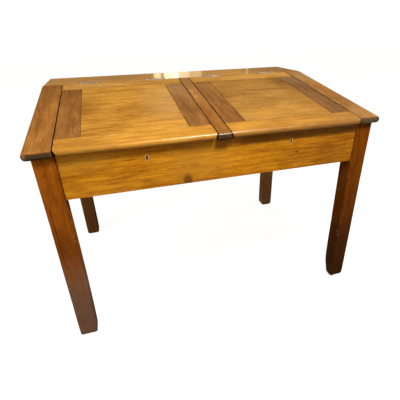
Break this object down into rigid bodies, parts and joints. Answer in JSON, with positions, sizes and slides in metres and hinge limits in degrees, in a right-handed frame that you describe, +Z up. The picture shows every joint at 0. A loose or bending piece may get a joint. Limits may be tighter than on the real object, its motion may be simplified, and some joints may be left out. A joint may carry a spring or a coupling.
{
  "type": "twin-lid sloping desk",
  "caption": "Wooden double writing desk on square legs: sloping frame-and-panel lids hinged to a flat back shelf over storage wells, with locks in the front apron.",
  "frame": {"origin": "on the floor under the middle of the desk", "axes": "+X to the sitter's right along the width, +Y from the sitter to the back shelf, +Z up"},
  "size_m": [1.22, 0.85, 0.8629],
  "materials": {
    "golden_wood": "satin varnish over golden straight-grained wood",
    "apron_wood": "amber varnish, worn",
    "brown_wood": "polished brown hardwood",
    "stile_wood": "polished brown hardwood",
    "leg_wood": "dark varnish, scuffed towards the feet",
    "inner_wood": "bare softwood",
    "brass": "worn brass",
    "hinge_steel": "dull steel",
    "lock_steel": "dull steel"
  },
  "bodies": {
    "desk": {"leg_front_left": "leg_wood", "leg_front_right": "leg_wood", "leg_back_left": "leg_wood", "leg_back_right": "leg_wood", "front_apron": "apron_wood", "back_apron": "apron_wood", "side_apron_left": "apron_wood", "side_apron_right": "apron_wood", "centre_partition": "inner_wood", "floor_board_left": "inner_wood", "floor_board_right": "inner_wood", "floor_bearer_front_left": "inner_wood", "floor_bearer_front_right": "inner_wood", "floor_bearer_back_left": "inner_wood", "floor_bearer_back_right": "inner_wood", "back_shelf": "brown_wood", "end_cheek_left": "brown_wood", "end_cheek_right": "brown_wood", "centre_divider": "brown_wood", "hinge_left_outer_shelf_leaf": "hinge_steel", "hinge_left_outer_pin": "hinge_steel", "hinge_left_inner_shelf_leaf": "hinge_steel", "hinge_left_inner_pin": "hinge_steel", "hinge_right_outer_shelf_leaf": "hinge_steel", "hinge_right_outer_pin": "hinge_steel", "hinge_right_inner_shelf_leaf": "hinge_steel", "hinge_right_inner_pin": "hinge_steel", "lock_left_escutcheon": "brass", "lock_left_case": "lock_steel", "lock_left_screw_1": "lock_steel", "lock_left_screw_2": "lock_steel", "lock_right_escutcheon": "brass", "lock_right_case": "lock_steel", "lock_right_screw_1": "lock_steel", "lock_right_screw_2": "lock_steel"},
    "lid_left": {"lid_left_front_rail": "golden_wood", "lid_left_back_rail": "golden_wood", "lid_left_outer_stile": "stile_wood", "lid_left_inner_stile": "stile_wood", "lid_left_panel": "golden_wood", "hinge_left_outer_lid_leaf": "hinge_steel", "hinge_left_inner_lid_leaf": "hinge_steel", "lock_left_link_plate": "brass", "link_left_screw_1": "lock_steel", "link_left_screw_2": "lock_steel"},
    "lid_right": {"lid_right_front_rail": "golden_wood", "lid_right_back_rail": "golden_wood", "lid_right_outer_stile": "stile_wood", "lid_right_inner_stile": "stile_wood", "lid_right_panel": "golden_wood", "hinge_right_outer_lid_leaf": "hinge_steel", "hinge_right_inner_lid_leaf": "hinge_steel", "lock_right_link_plate": "brass", "link_right_screw_1": "lock_steel", "link_right_screw_2": "lock_steel"},
    "bolt_left": {"lock_left_bolt": "brass"},
    "bolt_right": {"lock_right_bolt": "brass"}
  },
  "joints": [
    {"name": "lid_left_lift", "type": "hinge", "parent": "desk", "child": "lid_left", "pos_m": [-0.2745, 0.18, 0.859], "axis": [-1, 0, 0], "range_deg": [0, 189]},
    {"name": "lid_right_lift", "type": "hinge", "parent": "desk", "child": "lid_right", "pos_m": [0.2745, 0.18, 0.859], "axis": [-1, 0, 0], "range_deg": [0, 189]},
    {"name": "lock_left_throw", "type": "slide", "parent": "desk", "child": "bolt_left", "axis": [-1, 0, 0], "range_m": [0, 0.009]},
    {"name": "lock_right_throw", "type": "slide", "parent": "desk", "child": "bolt_right", "axis": [1, 0, 0], "range_m": [0, 0.009]}
  ]
}
